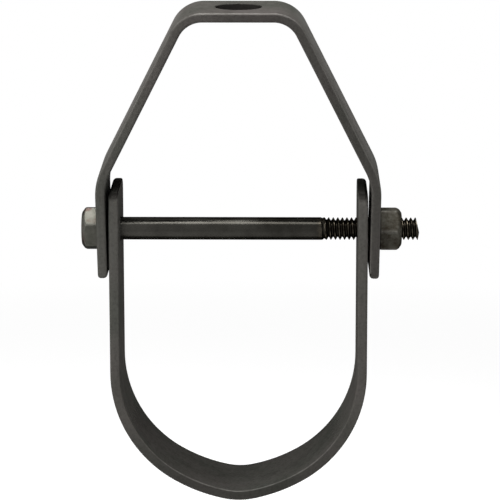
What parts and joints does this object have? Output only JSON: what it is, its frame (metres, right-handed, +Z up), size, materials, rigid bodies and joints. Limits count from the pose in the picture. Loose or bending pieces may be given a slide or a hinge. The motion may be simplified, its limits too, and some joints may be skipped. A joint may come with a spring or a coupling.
{
  "type": "clevis hanger",
  "caption": "Adjustable clevis hanger: a bent steel yoke with a rod hole in its top, and a U-shaped strap that swings under it on a cross bolt with a nut to carry a pipe.",
  "frame": {"origin": "middle of the rod hole, half way through the yoke's top", "axes": "+Z up along the rod hole, +X along the cross bolt from its head to its nut, Y across the flat bars"},
  "size_m": [0.094, 0.0254, 0.1377],
  "materials": {
    "bar_steel": "plain hot-rolled steel with dark mill scale, satin, worn at the edges",
    "bolt_steel": "oiled dark steel, satin shank and oily cut thread, brighter worn head",
    "nut_steel": "dull grey steel with brighter worn corners"
  },
  "bodies": {
    "yoke": {"yoke": "bar_steel"},
    "strap": {"strap": "bar_steel"},
    "cross_bolt": {"cross_bolt": "bolt_steel"},
    "hex_nut": {"hex_nut": "nut_steel"}
  },
  "joints": [
    {"name": "strap_swing", "type": "hinge", "parent": "yoke", "child": "strap", "pos_m": [0, 0, -0.06095], "axis": [1, 0, 0], "range_deg": [-100, 100]},
    {"name": "bolt_turn", "type": "hinge", "parent": "yoke", "child": "cross_bolt", "pos_m": [0, 0, -0.06095], "axis": [-1, 0, 0], "range_deg": [0, 1800]},
    {"name": "nut_travel", "type": "slide", "parent": "yoke", "child": "hex_nut", "axis": [1, 0, 0], "range_m": [0, 0.00635]}
  ],
  "couplings": [
    {"joint": "nut_travel", "follows": "bolt_turn", "m_per_rad": 0.00020213}
  ]
}
